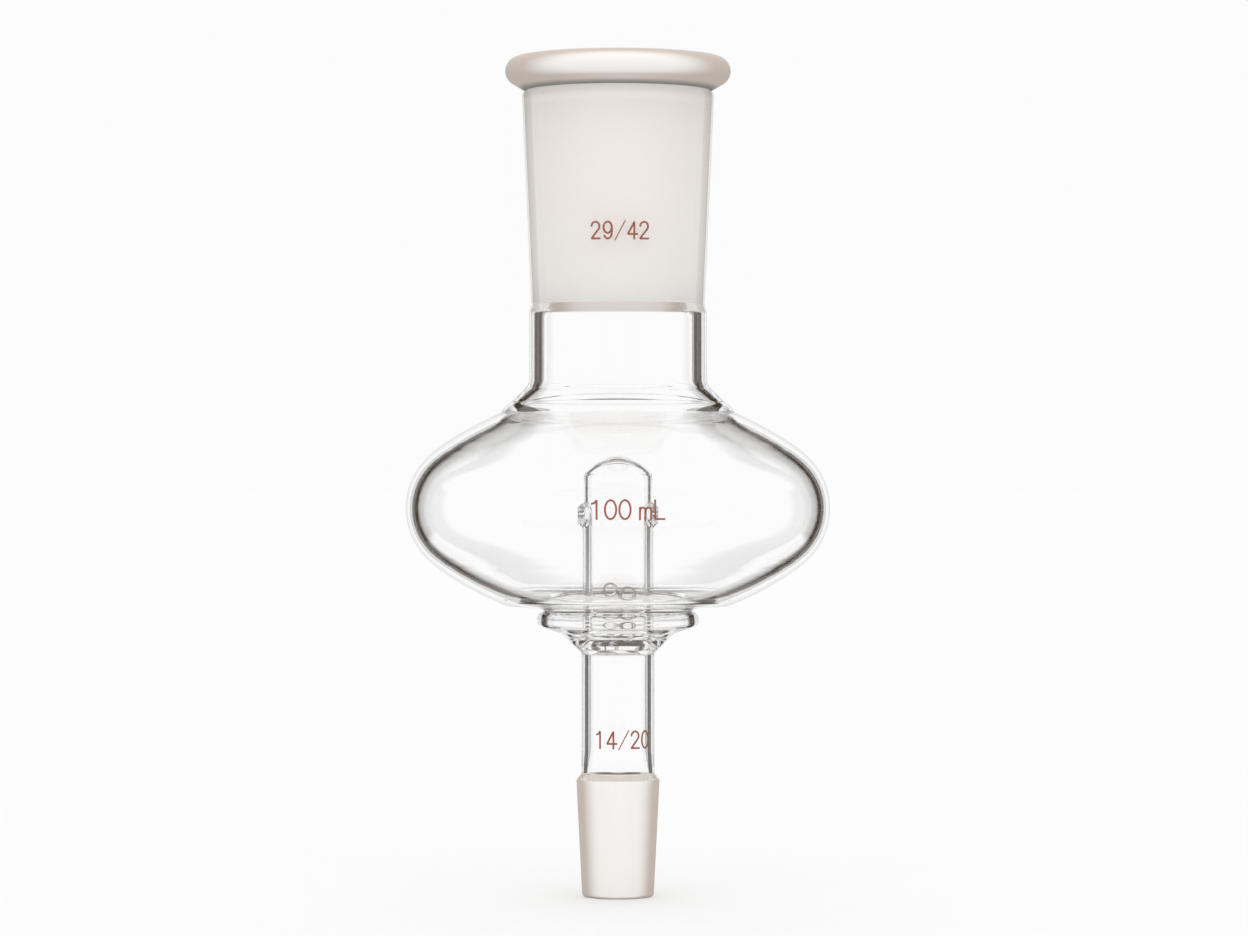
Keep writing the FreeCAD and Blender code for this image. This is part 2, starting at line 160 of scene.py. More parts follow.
# Half the cross-section of the whole glass, from the inside of the dome down the bore, up the
# outside, over the rim, down the inside and up the inner tube to the top of the dome.
def glassOutline():
    s, n, b, u, c, t = socketGlass, neckGlass, bulbGlass, sumpGlass, coneGlass, innerGlass
    cos = lambda angle: math.cos(math.radians(angle))
    sin = lambda angle: math.sin(math.radians(angle))
    tan = lambda angle: math.tan(math.radians(angle))
    # upper joint
    beadMiddle = s["beadRadius"] - s["beadRound"]
    beadHeight = s["mouthLip"] - s["beadRound"]
    beadLow = (beadMiddle + s["beadRound"] * cos(s["beadUnderside"]),
               beadHeight - s["beadRound"] * sin(s["beadUnderside"]))
    socketTop = s["mouthRadius"] + s["wallTop"]
    grooveRadius = socketTop - s["grooveCut"]
    groove = (grooveRadius, beadLow[1] - (beadLow[0] - grooveRadius) / tan(s["beadUnderside"]))
    socketEnd = -s["groundLength"]
    socketEndBore = s["mouthRadius"] - s["groundLength"] * s["taper"]
    # neck
    neckTop = socketEnd - n["step"]
    neckLow = neckTop - n["length"]
    neckBore = n["radius"] - n["wall"]
    bendInside = n["bend"] + n["wall"]
    flareStart = (n["radius"] + n["bend"] * (1 - cos(n["flareAngle"])),
                  neckLow - n["bend"] * sin(n["flareAngle"]))
    flareRadius = n["radius"] + n["flareReach"]
    flareEnd = (flareRadius, flareStart[1] - (flareRadius - flareStart[0]) / tan(n["flareAngle"]))
    flareStartInside = (neckBore + bendInside * (1 - cos(n["flareAngle"])),
                        neckLow - bendInside * sin(n["flareAngle"]))
    flareRadiusInside = neckBore + n["flareReachInside"]
    flareEndInside = (flareRadiusInside, flareStartInside[1]
                      - (flareRadiusInside - flareStartInside[0]) / tan(n["flareAngle"]))
    # bulb
    edgeMiddle = b["radius"] - b["edgeRound"]
    crown = ((edgeMiddle**2 + b["halfHeight"] ** 2 - b["edgeRound"] ** 2)
             / (2 * (b["halfHeight"] - b["edgeRound"])))
    offset = crown - b["halfHeight"]
    share = edgeMiddle / (crown - b["edgeRound"])
    rise = offset / (crown - b["edgeRound"])
    weldRadius = flareRadius + n["weldReach"]
    weld = flareEnd[1] - n["weldDrop"]
    middle = weld + offset - math.sqrt(crown**2 - weldRadius**2)
    crownInside, edgeInside = crown - b["wall"], b["edgeRound"] - b["wall"]
    weldRadiusInside = flareRadiusInside + n["weldReachInside"]
    weldInside = middle - offset + math.sqrt(crownInside**2 - weldRadiusInside**2)
    floor = middle + offset - math.sqrt(crown**2 - b["floorRadius"] ** 2)
    floorRadiusInside = b["floorRadius"] * crownInside / crown
    floorInside = middle + offset - math.sqrt(crownInside**2 - floorRadiusInside**2)
    # throat and sump
    entry = (u["throatRadius"] + u["throatEntry"], floor - b["floorFall"])
    sumpHeight = entry[1] - u["drop"]
    sumpMiddle = u["radius"] - u["round"]
    throat = sumpHeight + math.sqrt(u["round"] ** 2 - (u["throatRadius"] - sumpMiddle) ** 2)
    sumpLow = (sumpMiddle + u["round"] * cos(u["underside"]),
               sumpHeight - u["round"] * sin(u["underside"]))
    throatBore = u["throatRadius"] - u["throatWall"]
    lipPlace = entry[1] + u["throatWall"]
    sumpBore = u["radius"] - u["wall"]
    funnel = sumpHeight - u["funnelDrop"]
    trough = funnel - u["troughDrop"]
    seal = funnel - u["sealDrop"]
    # lower tube and cone
    shoulderTop = seal - c["tubeLength"]
    coneTop = shoulderTop - c["shoulder"]
    groundLow = coneTop - c["groundLength"]
    coneEnd = groundLow - c["endRound"]
    smallRadius = c["largeRadius"] - c["groundLength"] * s["taper"]
    # inner tube
    dome = middle + t["domeHeight"]
    domeEdge = (t["topRadius"] - t["domeCorner"] * t["domeLean"], dome - t["domeRise"])
    domeBend = (domeEdge[0] ** 2 + t["domeRise"] ** 2) / (2 * t["domeRise"])
    domeSide = domeEdge[1] - t["domeCorner"]
    domeInside = dome - t["domeWall"]
    domeEdgeInside = (domeEdge[0] - t["domeWall"] * t["domeWallShares"][0],
                      domeEdge[1] - t["domeWall"] * t["domeWallShares"][1])
    domeSideInside = domeSide - t["domeWall"] * t["domeSideShare"]
    domeRiseInside = domeInside - domeEdgeInside[1]
    domeBendInside = (domeEdgeInside[0] ** 2 + domeRiseInside**2) / (2 * domeRiseInside)
    vent = dome - t["ventDrop"]
    beadTop = trough - u["sealBeadDrop"]
    funnelInside = u["funnelRadius"] - u["funnelWall"] * u["funnelWallShare"]
    corners = [
        ((0, domeInside), (domeBendInside, 1)),
        (domeEdgeInside, None),
        ((t["topRadius"] - t["topWall"], domeSideInside), None),
        ((t["topRadius"] - t["topWall"], vent + t["neckIn"]), None),
        ((t["boreRadius"], vent - t["neckIn"]), None),
        ((t["boreRadius"], beadTop), None),
        ((t["boreRadius"] - u["sealBead"], beadTop - u["sealBeadHeight"] / 2), None),
        ((c["boreRadius"], beadTop - u["sealBeadHeight"]), None),
        ((c["boreRadius"], coneTop + c["boreFlare"]), None),
        ((c["largeRadius"] - c["wall"], coneTop), None),
        ((smallRadius - c["wall"], coneEnd), None),
        ((smallRadius - c["endRound"], coneEnd), None),
        ((smallRadius, groundLow), None),
        ((c["largeRadius"], coneTop), None),
        ((c["tubeRadius"], shoulderTop), None),
        ((c["tubeRadius"], seal), None),
        ((u["funnelRadius"], funnel), None),
        (sumpLow, (u["round"], -1)),
        ((u["throatRadius"], throat), (u["throatRound"], 1)),
        (entry, None),
        ((b["floorRadius"], floor), (crown, -1)),
        ((crown * share, middle + offset - crown * rise), (b["edgeRound"], -1)),
        ((crown * share, middle - offset + crown * rise), (crown, -1)),
        ((weldRadius, weld), (n["weldRound"], -1)),
        (flareEnd, None),
        (flareStart, (n["bend"], 1)),
        ((n["radius"], neckLow), None),
        ((n["radius"], neckTop), None),
        ((socketEndBore + s["wallEnd"], socketEnd), None),
        ((socketTop, groove[1] - s["shoulderHeight"]), (s["shoulderRound"], -1)),
        (groove, None),
        (beadLow, (s["beadRound"], -1)),
        ((beadMiddle, s["mouthLip"]), None),
        ((s["mouthRadius"] + s["mouthLip"], s["mouthLip"]), (s["mouthLip"], -1)),
        ((s["mouthRadius"], 0), None),
        ((socketEndBore, socketEnd), None),
        ((neckBore, socketEnd - n["stepInside"]), None),
        ((neckBore, neckLow), (bendInside, -1)),
        (flareStartInside, None),
        (flareEndInside, None),
        ((weldRadiusInside, weldInside), (crownInside, 1)),
        ((crownInside * share, middle - offset + crownInside * rise), (edgeInside, 1)),
        ((crownInside * share, middle + offset - crownInside * rise), (crownInside, 1)),
        ((floorRadiusInside, floorInside), None),
        ((throatBore + u["throatLip"], lipPlace), (u["throatLip"], -1)),
        ((throatBore, lipPlace - u["throatLip"]), None),
        ((sumpBore, sumpHeight), (u["pocketFall"], 1)),
        ((sumpBore - u["pocketFall"], sumpHeight - u["pocketFall"]), None),
        ((funnelInside, funnel + u["funnelWall"]), None),
        ((u["troughRadius"], trough), (u["troughRadius"] - t["radius"], 1)),
        ((t["radius"], trough + u["troughRadius"] - t["radius"]), None),
        ((t["radius"], vent - t["neckIn"]), None),
        ((t["topRadius"], vent + t["neckIn"]), None),
        ((t["topRadius"], domeSide), (t["domeCorner"], -1)),
        (domeEdge, (domeBend, -1)),
        ((0, dome), None),
    ]
    fade = [entry[1] + b["fadeFoot"][0], entry[1] + b["fadeFoot"][1], weld - b["fadeTop"], weld]
    places = {"vent": vent, "trough": trough, "coneTop": coneTop, "coneEnd": coneEnd,
              "socketEnd": socketEnd, "groove": groove[1], "bulbFade": fade}
    return corners, places


# A mesh object from vertices in millimetres and faces, on the frame's own axes.
def meshObject(name, vertices, faces, slots=None):
    mesh = bpy.data.meshes.new(name)
    mesh.from_pydata((vertices * mm).tolist(), [], faces)
    if slots is not None:
        mesh.polygons.foreach_set("material_index", np.asarray(slots, np.int32))
    mesh.polygons.foreach_set("use_smooth", np.ones(len(mesh.polygons), bool))
    mesh.validate()
    made = bmesh.new()
    made.from_mesh(mesh)
    bmesh.ops.recalc_face_normals(made, faces=made.faces)
    if made.calc_volume(signed=True) < 0:
        bmesh.ops.reverse_faces(made, faces=made.faces)
    made.to_mesh(mesh)
    made.free()
    piece = bpy.data.objects.new(name, mesh)
    bpy.context.collection.objects.link(piece)
    return piece


# Quads between two rows of vertex numbers that close into rings.
def ringQuads(first, second):
    return np.column_stack([first, np.roll(first, -1), np.roll(second, -1), second])


# The vertex numbers round a window of the grid, from its lowest row's first column.
def windowLoop(grid, low, high, left, right):
    way = 1 if high > low else -1
    rows = np.arange(low, high + way, way)
    columns = np.arange(left, right + 1) % grid.shape[1]
    return np.concatenate([grid[low, columns], grid[rows[1:], columns[-1]],
                           grid[high, columns[-2::-1]], grid[rows[-2:0:-1], columns[0]]])


# Rings of a hole through the tube's wall, from the grid outside to the grid inside. Each has the
# share of the way out to the window's edge, the radius about the hole's axis, the share of the
# outer surface in its height, and its lift off the outer and the inner surface. A lip's rings go
# round a half circle, and a plain edge's round a quarter.
def holeRings(hole):
    lip, inner, m = hole["lip"], hole["innerRound"], glassMesh
    foot = hole["radius"] + (2 * lip if hole["raised"] else lip)
    away = np.linspace(1, 0, hole["flankRings"])[1:]
    rings = [(share, foot, 1, 0, 0) for share in away]
    drop = 0 if hole["raised"] else -lip
    if hole["raised"]:
        over = np.linspace(0, math.pi, m["lipRings"])[1:]
    else:
        over = np.linspace(math.pi / 2, math.pi, m["roundRings"])[1:]
    for a in over:
        rings.append((0, hole["radius"] + lip * (1 + math.cos(a)), 1, lip * math.sin(a) + drop, 0))
    for share in np.linspace(1, 0, m["wallRings"])[1:]:
        rings.append((0, hole["radius"], share, drop, inner))
    for a in np.linspace(0, math.pi / 2, m["roundRings"])[1:]:
        radius = hole["radius"] + inner * (1 - math.cos(a))
        rings.append((0, radius, 0, 0, inner * (1 - math.sin(a))))
    back = np.linspace(0, 1, hole["flankRings"])[1:-1]
    rings += [(share, hole["radius"] + inner, 0, 0, 0) for share in back]
    return np.array(rings)


# A hole's vertices and faces. In the hole's own frame, across is level, along is up the tube and
# the height over the tube's axis is the root of the tube's radius squared less across squared.
# A raised lip pulls the surface out to a level plane, fading over lipSpread.
def holePatch(hole, vertices, outerLoop, innerLoop, outerRows, innerRows):
    turn = math.radians(hole["angle"])
    out = np.array([math.cos(turn), math.sin(turn), 0])
    side = np.array([-math.sin(turn), math.cos(turn), 0])
    rings = holeRings(hole)
    edges = []
    for loop in (outerLoop, innerLoop):
        across = vertices[loop] @ side
        along = vertices[loop, 2] - hole["height"]
        edges.append((np.hypot(across, along), np.arctan2(along, across)))
    angleIn = edges[0][1] + (edges[1][1] - edges[0][1] + np.pi) % (2 * np.pi) - np.pi
    share, radius, outer, liftOut, liftIn = (rings[:, k][:, None] for k in range(5))
    angle = outer * edges[0][1] + (1 - outer) * angleIn
    edge = np.where(outer > 0, edges[0][0], edges[1][0])
    reach = share * edge + (1 - share) * radius
    across, along = reach * np.cos(angle), reach * np.sin(angle)
    level = along + hole["height"]
    outside = np.sqrt(np.interp(level, *outerRows) ** 2 - across**2)
    inside = np.sqrt(np.interp(level, *innerRows) ** 2 - across**2)
    if hole["raised"]:
        foot = hole["radius"] + 2 * hole["lip"]
        fade = np.clip((foot + hole["spread"] - reach) / hole["spread"], 0, 1)
        fade = fade * fade * (3 - 2 * fade)
        outside = outside + fade * (hole["plane"] - outside)
    height = outer * (outside + liftOut) + (1 - outer) * (inside + liftIn)
    points = (height[..., None] * out + across[..., None] * side
              + level[..., None] * np.array([0, 0, 1]))
    first = len(vertices)
    numbers = first + np.arange(points.shape[0] * points.shape[1]).reshape(points.shape[:2])
    loops = [outerLoop, *numbers, innerLoop]
    faces = np.concatenate([ringQuads(a, b) for a, b in zip(loops[:-1], loops[1:])])
    return points.reshape(-1, 3), faces


# The whole glass: the outline's rows turned about the upright axis, closed at both poles, with
# the two raised side holes and the four small drain holes let into the inner tube. A window's
# width in columns is the angle whose sine is its half width over the tube's radius.
def makeGlass():
    corners, places = glassOutline()
    m, t = glassMesh, innerGlass
    drawn = drawnPath(corners, m["fineStep"])
    path = softened(drawn, m["fineStep"], m["softness"], m["softReach"])
    bulb = softened(drawn, m["fineStep"], m["bulbSoftness"], m["softReach"])
    blown = np.interp(path[:, 1], places["bulbFade"], [0, 1, 1, 0])
    blown *= np.clip(path[:, 0] - bulbGlass["fadeRadius"], 0, 1)
    path += blown[:, None] * (bulb - path)
    vent, trough = places["vent"], places["trough"]
    ventHalf = t["lipRadius"] + t["lipSpread"] + m["ventMargin"]
    drainHalf = t["drainRadius"] + m["drainMargin"]
    drainHeights = [trough + height for height in t["drainHeights"]]
    ventReach, drainReach = ventHalf + m["zoneMargin"], drainHalf + m["zoneMargin"]
    zones = [(vent - ventReach, vent + ventReach, m["ventZone"])]
    for height in drainHeights:
        zones.append((height - drainReach, height + drainReach, m["drainZone"]))
    rows = spreadRows(path, m, zones)
    count, columns = len(rows), m["columns"]
    turn = np.arange(columns) * 2 * np.pi / columns
    ring = rows[1:-1]
    vertices = np.stack([ring[:, :1] * np.cos(turn), ring[:, :1] * np.sin(turn),
                         np.repeat(ring[:, 1:], columns, axis=1)], axis=-1).reshape(-1, 3)
    grid = np.arange(len(vertices)).reshape(count - 2, columns)
    coneEnd = int(np.argmin(ring[:, 1]))
    rim = int(np.argmax(ring[:, 1]))
    foot = rim + int(np.argmin(ring[rim:, 1]))
    tube = np.arange(foot, len(ring))
    bore = np.arange(0, coneEnd)
    outerRows = (ring[tube, 1], ring[tube, 0])
    innerRows = (ring[bore[::-1], 1], ring[bore[::-1], 0])
    keep = np.ones((count - 3, columns), bool)
    holes = []
    lip = (t["lipRadius"] - t["ventRadius"]) / 2
    for angle in t["ventAngles"]:
        holes.append({"angle": angle, "height": vent, "radius": t["ventRadius"], "raised": True,
                      "lip": lip, "innerRound": t["ventInnerRound"],
                      "plane": t["radius"] + t["lipReach"] - lip, "spread": t["lipSpread"],
                      "flankRings": m["ventFlankRings"], "half": ventHalf})
    for height in drainHeights:
        for angle in (t["drainAngle"], t["drainAngle"] + 180):
            holes.append({"angle": angle, "height": height, "radius": t["drainRadius"],
                          "raised": False, "lip": t["drainLip"],
                          "innerRound": t["drainInnerRound"],
                          "flankRings": m["drainFlankRings"], "half": drainHalf})
    patches, patchFaces = [vertices], []
    for hole in holes:
        wide = math.degrees(math.asin(hole["half"] / t["radius"])) / 360 * columns
        left = round(hole["angle"] / 360 * columns - wide)
        right = round(hole["angle"] / 360 * columns + wide)
        middleOut = foot + int(np.argmin(abs(ring[tube, 1] - hole["height"])))
        middleIn = int(np.argmin(abs(ring[bore, 1] - hole["height"])))
        rowStep = abs(ring[middleOut + 1, 1] - ring[middleOut, 1])
        reach = min(round(hole["half"] / rowStep), middleOut - foot - 1)
        outerLoop = windowLoop(grid, middleOut - reach, middleOut + reach, left, right)
        innerLoop = windowLoop(grid, middleIn + reach, middleIn - reach, left, right)
        cut = np.arange(left, right) % columns
        keep[middleOut - reach:middleOut + reach, cut] = False
        keep[middleIn - reach:middleIn + reach, cut] = False
        points, faces = holePatch(hole, np.concatenate(patches), outerLoop, innerLoop,
                                  outerRows, innerRows)
        patches.append(points)
        patchFaces.append(faces)
    total = sum(len(patch) for patch in patches)
    across = np.roll(grid, -1, axis=1)
    quads = np.stack([grid[:-1], across[:-1], across[1:], grid[1:]], axis=-1)
    level = (ring[:-1, 1] + ring[1:, 1]) / 2
    number = np.arange(len(level))
    ground = (number >= rim) & (number < foot) & (level > places["socketEnd"])
    ground |= (number > coneEnd) & (number < rim) & (level > places["groove"])
    ground |= (number > coneEnd) & (number < rim) & (level < places["coneTop"])
    slots = np.repeat(ground[:, None], columns, axis=1)[keep].astype(np.int32)
    sides = np.concatenate([quads[keep], *patchFaces])
    poleIn, poleTop = total, total + 1
    caps = np.concatenate([
        np.column_stack([np.full(columns, poleIn), np.roll(grid[0], -1), grid[0]]),
        np.column_stack([np.full(columns, poleTop), grid[-1], np.roll(grid[-1], -1)])])
    ends = np.array([[0, 0, rows[0, 1]], [0, 0, rows[-1, 1]]])
    everything = np.concatenate([*patches, ends])
    slots = np.concatenate([slots, np.zeros(len(sides) - len(slots) + len(caps), np.int32)])
    glass = meshObject("blown_glass", everything, sides.tolist() + caps.tolist(), slots)
    outside = (ring[coneEnd:rim, 1], ring[coneEnd:rim, 0])
    print("glass", len(everything), "points,", len(sides), "quads")
    return glass, outside, places


# sRGB hex to linear colour, channel by channel with the standard curve
def hexColour(text):
    parts = [int(text[k:k + 2], 16) / 255 for k in (1, 3, 5)]
    return [v / 12.92 if v <= 0.04045 else ((v + 0.055) / 1.055) ** 2.4 for v in parts] + [1]


# Adds one node with its settings, its socket values and its links: a socket's value is a plain
# value or another node's output. A socket is named, with _ for a space, or numbered as in0.
def addNode(tree, kind, settings=None, **sockets):
    node = tree.nodes.new(kind)
    for name, value in (settings or {}).items():
        setattr(node, name, value)
    for name, value in sockets.items():
        numbered = name.startswith("in") and name[2:].isdigit()
        key = int(name[2:]) if numbered else name.replace("_", " ")
        if isinstance(value, bpy.types.NodeSocket):
            tree.links.new(value, node.inputs[key])
        else:
            node.inputs[key].default_value = value
    return node


# A new material with an empty node tree.
def newMaterial(name):
    material = bpy.data.materials.new(name)
    material.use_nodes = True
    material.node_tree.nodes.clear()
    return material, material.node_tree


# Product of smooth steps. Each limit has a value, where its step begins and where it is full: it
# goes from 0 to 1 along a smooth curve, and stays there on either side.
def smoothProduct(tree, limits, unit=1.0):
    product = 1.0
    for value, begin, full in limits:
        step = addNode(tree, "ShaderNodeMapRange", {"interpolation_type": "SMOOTHSTEP"},
                       Value=value, From_Min=begin * unit, From_Max=full * unit)
        product = addNode(tree, "ShaderNodeMath", {"operation": "MULTIPLY"}, in0=product,
                          in1=step.outputs["Result"]).outputs[0]
    return product


# Colours over one another, from the lowest up. Each layer covers what is below by its share.
def layered(tree, lowest, layers):
    colour = lowest
    for share, cover in layers:
        colour = addNode(tree, "ShaderNodeMix", {"data_type": "RGBA"}, in0=share, in6=colour,
                         in7=cover).outputs[2]
    return colour


# A point's place on the object, its height, and its distance from the upright axis.
def placeOnGlass(tree):
    place = addNode(tree, "ShaderNodeTexCoord").outputs["Object"]
    axes = addNode(tree, "ShaderNodeSeparateXYZ", Vector=place)
    level = addNode(tree, "ShaderNodeCombineXYZ", X=axes.outputs["X"], Y=axes.outputs["Y"])
    reach = addNode(tree, "ShaderNodeVectorMath", {"operation": "LENGTH"}, in0=level.outputs[0])
    return place, axes.outputs["Z"], reach.outputs["Value"]


clearLook = {
    # edge is a painted shade that darkens the glass towards its edges
    "ior": 1.473, "tint": "#FFFFFF", "edge": "#4C443D", "edgeShadeFacing": (0.8, 0.97),
    "rippleSize": 7.0, "rippleDepth": 0.004, "rippleDetail": 1.0,
    # seal is a painted shade, a dark band at the ring seal
    "seal": "#2A211B", "sealEdge": 0.3, "sealTop": 0.6, "sealLow": -0.7, "sealRadius": 5.5,
    "sealMottle": 1.6, "sealDetail": 1.0, "sealPatches": (0.15, 0.42),
    # drain is a painted shade, a grey line round each drain hole
    "drain": "#6E645C", "drainRing": 1.35, "drainLine": 0.3, "drainReach": 7.2,
}


# Clear borosilicate glass, blown and fire-polished: no grain at all and faint slow ripples from
# the lamp. A brown-grey painted shade gathers where the eye looks along the wall, at the glass's
# edges.
def clearBorosilicate(places):
    look = clearLook
    material, tree = newMaterial("clear_borosilicate_fire_polished")
    place, height, reach = placeOnGlass(tree)
    # painted shade: the glass darkens to brown-grey towards its edges, where the eye looks along
    # the wall
    facing = addNode(tree, "ShaderNodeLayerWeight", Blend=0.5)
    edge = smoothProduct(tree, [(facing.outputs["Facing"], *look["edgeShadeFacing"])])
    layers = [(edge, hexColour(look["edge"]))]
    # painted shade: a grey line round each drain hole's lip, where the distance from the hole's
    # own level axis is the line's radius
    turn = math.radians(innerGlass["drainAngle"])
    side = addNode(tree, "ShaderNodeVectorMath", {"operation": "DOT_PRODUCT"}, in0=place,
                   in1=(-math.sin(turn), math.cos(turn), 0))
    flat = addNode(tree, "ShaderNodeCombineXYZ", X=side.outputs["Value"], Y=height)
    for drain in innerGlass["drainHeights"]:
        middle = (0, (places["trough"] + drain) * mm, 0)
        away = addNode(tree, "ShaderNodeVectorMath", {"operation": "DISTANCE"},
                       in0=flat.outputs[0], in1=middle).outputs["Value"]
        ring = smoothProduct(tree, [
            (away, look["drainRing"] - look["drainLine"], look["drainRing"]),
            (away, look["drainRing"] + look["drainLine"], look["drainRing"]),
            (reach, look["drainReach"], look["drainReach"] - look["sealEdge"])], mm)
        layers.append((ring, hexColour(look["drain"])))
    # painted shade: a dark band at the seal where the tubes were fused, broken up by a slow noise
    soft = look["sealEdge"]
    low, high = places["trough"] + look["sealLow"], places["trough"] + look["sealTop"]
    cloud = addNode(tree, "ShaderNodeTexNoise", Vector=place,
                    Scale=1 / (look["sealMottle"] * mm), Detail=look["sealDetail"])
    patchy = addNode(tree, "ShaderNodeMapRange", Value=cloud.outputs["Fac"],
                     From_Min=look["sealPatches"][0], From_Max=look["sealPatches"][1])
    band = smoothProduct(tree, [(height, low - soft, low), (height, high + soft, high),
                                (reach, look["sealRadius"] + soft, look["sealRadius"])], mm)
    sealShade = addNode(tree, "ShaderNodeMath", {"operation": "MULTIPLY"}, in0=band,
                   in1=patchy.outputs["Result"])
    layers.append((sealShade.outputs[0], hexColour(look["seal"])))
    wave = addNode(tree, "ShaderNodeTexNoise", Vector=place,
                   Scale=1 / (look["rippleSize"] * mm), Detail=look["rippleDetail"])
    ripple = addNode(tree, "ShaderNodeBump", Height=wave.outputs["Fac"], Strength=1.0,
                     Distance=look["rippleDepth"] * mm)
    glass = addNode(tree, "ShaderNodeBsdfPrincipled", Roughness=0.0, IOR=look["ior"],
                    Base_Color=layered(tree, hexColour(look["tint"]), layers),
                    Transmission_Weight=1.0, Normal=ripple.outputs["Normal"])
    addNode(tree, "ShaderNodeOutputMaterial", Surface=glass.outputs["BSDF"])
    return material


groundLook = {
    # edge is a painted shade that greys the ground glass towards its edges
    "ior": 1.473, "tint": "#FFFDFB", "pitted": "#F8F4F0", "edge": "#CFC3B9",
    "edgeShadeFacing": (0.12, 0.52), "roughness": 0.7, "specular": 0.1, "through": 0.05,
    "gritSize": 0.25, "gritDepth": 0.02, "gritDetail": 2.0, "gritBump": 0.3,
    # crease is a painted shade in the groove under the bead
    "creaseShade": "#8B8B85", "creaseTop": 1.0, "creaseLow": 0.1, "creaseReach": (14.6, 15.0),
}


# The same glass ground with fine grit: a dense matt white scatter with hardly any gloss,
# speckled where the grit cut deeper. Seen from outside it greys towards its edges, a painted
# shade. Real grit is about 0.05 mm, and is drawn five times as coarse so that it shows.
def groundBorosilicate(places):
    look = groundLook
    material, tree = newMaterial("ground_borosilicate_matt")
    place, height, reach = placeOnGlass(tree)
    grit = addNode(tree, "ShaderNodeTexNoise", Vector=place, Scale=1 / (look["gritSize"] * mm),
                   Detail=look["gritDetail"])
    # painted shade: the front faces grey towards their edges
    facing = addNode(tree, "ShaderNodeLayerWeight", Blend=0.5)
    edge = smoothProduct(tree, [(facing.outputs["Facing"], *look["edgeShadeFacing"])])
    side = addNode(tree, "ShaderNodeNewGeometry")
    edgeShade = addNode(tree, "ShaderNodeMath", {"operation": "SUBTRACT", "use_clamp": True},
                   in0=edge, in1=side.outputs["Backfacing"])
    # painted shade in the crease under the bead, where the light reaches least
    groove = places["groove"]
    creaseShade = smoothProduct(tree, [(height, groove + look["creaseTop"], groove + look["creaseLow"]),
                                  (reach, *look["creaseReach"])], mm)
    layers = [(grit.outputs["Fac"], hexColour(look["pitted"])),
              (edgeShade.outputs[0], hexColour(look["edge"])), (creaseShade, hexColour(look["creaseShade"]))]
    bump = addNode(tree, "ShaderNodeBump", Height=grit.outputs["Fac"], Strength=look["gritBump"],
                   Distance=look["gritDepth"] * mm)
    glass = addNode(tree, "ShaderNodeBsdfPrincipled", Roughness=look["roughness"],
                    Base_Color=layered(tree, hexColour(look["tint"]), layers), IOR=look["ior"],
                    Specular_IOR_Level=look["specular"], Transmission_Weight=look["through"],
                    Normal=bump.outputs["Normal"])
    addNode(tree, "ShaderNodeOutputMaterial", Surface=glass.outputs["BSDF"])
    return material


enamelLook = {"colour": "#A9624B", "deep": "#96523F", "roughness": 0.45, "mottle": 0.35,
              "detail": 3.0}


# Red-brown enamel, printed and fired: thin, satin, slightly uneven in depth of colour.
def firedEnamel():
    look = enamelLook
    material, tree = newMaterial("fired_enamel_red_brown")
    place = addNode(tree, "ShaderNodeTexCoord")
    cloud = addNode(tree, "ShaderNodeTexNoise", Vector=place.outputs["Object"],
                    Scale=1 / (look["mottle"] * mm), Detail=look["detail"])
    colour = layered(tree, hexColour(look["colour"]),
                     [(cloud.outputs["Fac"], hexColour(look["deep"]))])
    enamel = addNode(tree, "ShaderNodeBsdfPrincipled", Base_Color=colour,
                     Roughness=look["roughness"])
    addNode(tree, "ShaderNodeOutputMaterial", Surface=enamel.outputs["BSDF"])
    return material


# Points of part of an ellipse about x, y, between two angles in degrees.
def ellipse(x, y, across, up, start, stop, count=14):
    turn = np.radians(np.linspace(start, stop, count))
    return np.column_stack([x + across * np.cos(turn), y + up * np.sin(turn)])


# Letters as strokes in a box one unit high, each a run of points with rounds from ellipses.
letterStrokes = {
    "0": [ellipse(0.28, 0.5, 0.26, 0.48, 90, 450, 32)],
    "1": [np.array([(0.08, 0.8), (0.2, 0.84), (0.3, 0.98), (0.3, 0.02)])],
    "2": [np.concatenate([ellipse(0.27, 0.72, 0.235, 0.26, 175, -30),
                          [(0.03, 0.03), (0.53, 0.03)]])],
    "4": [np.array([(0.4, 0.02), (0.4, 0.97), (0.03, 0.28), (0.58, 0.28)])],
    "9": [np.concatenate([ellipse(0.28, 0.66, 0.24, 0.32, 0, 360, 24),
                          ellipse(0.28, 0.4, 0.24, 0.38, 0, -145)])],
    "/": [np.array([(0.0, -0.05), (0.58, 1.04)])],
    "m": [np.array([(0.04, 0.0), (0.04, 0.6)]),
          np.concatenate([ellipse(0.17, 0.45, 0.13, 0.15, 180, 0, 10), [(0.3, 0.0)]]),
          np.concatenate([ellipse(0.43, 0.45, 0.13, 0.15, 180, 0, 10), [(0.56, 0.0)]])],
    "L": [np.array([(0.06, 0.98), (0.06, 0.02), (0.5, 0.02)])],
}
# Each mark's place, and where each of its letters starts in cap heights
marks = {
    "joint_mark": {"text": "29/42", "capHeight": 3.0, "widen": 0.98, "across": 0.28,
                   "height": -29.8, "starts": [0, 0.7, 1.4, 2.1, 2.8]},
    "volume_mark": {"text": "100mL", "capHeight": 3.26, "widen": 1.1, "across": 1.63,
                    "height": -77.3, "starts": [0, 0.735, 1.47, 2.5, 3.26]},
    "cone_mark": {"text": "14/20", "capHeight": 3.05, "widen": 0.98, "across": 0.9,
                  "height": -117.4, "starts": [0, 0.7, 1.4, 2.1, 2.8]},
}
lettering = {"line": 0.33, "slashShare": 0.6, "thickness": 0.03, "step": 0.25, "endPoints": 5,
             "endTurn": 12, "lastWidth": 0.5}


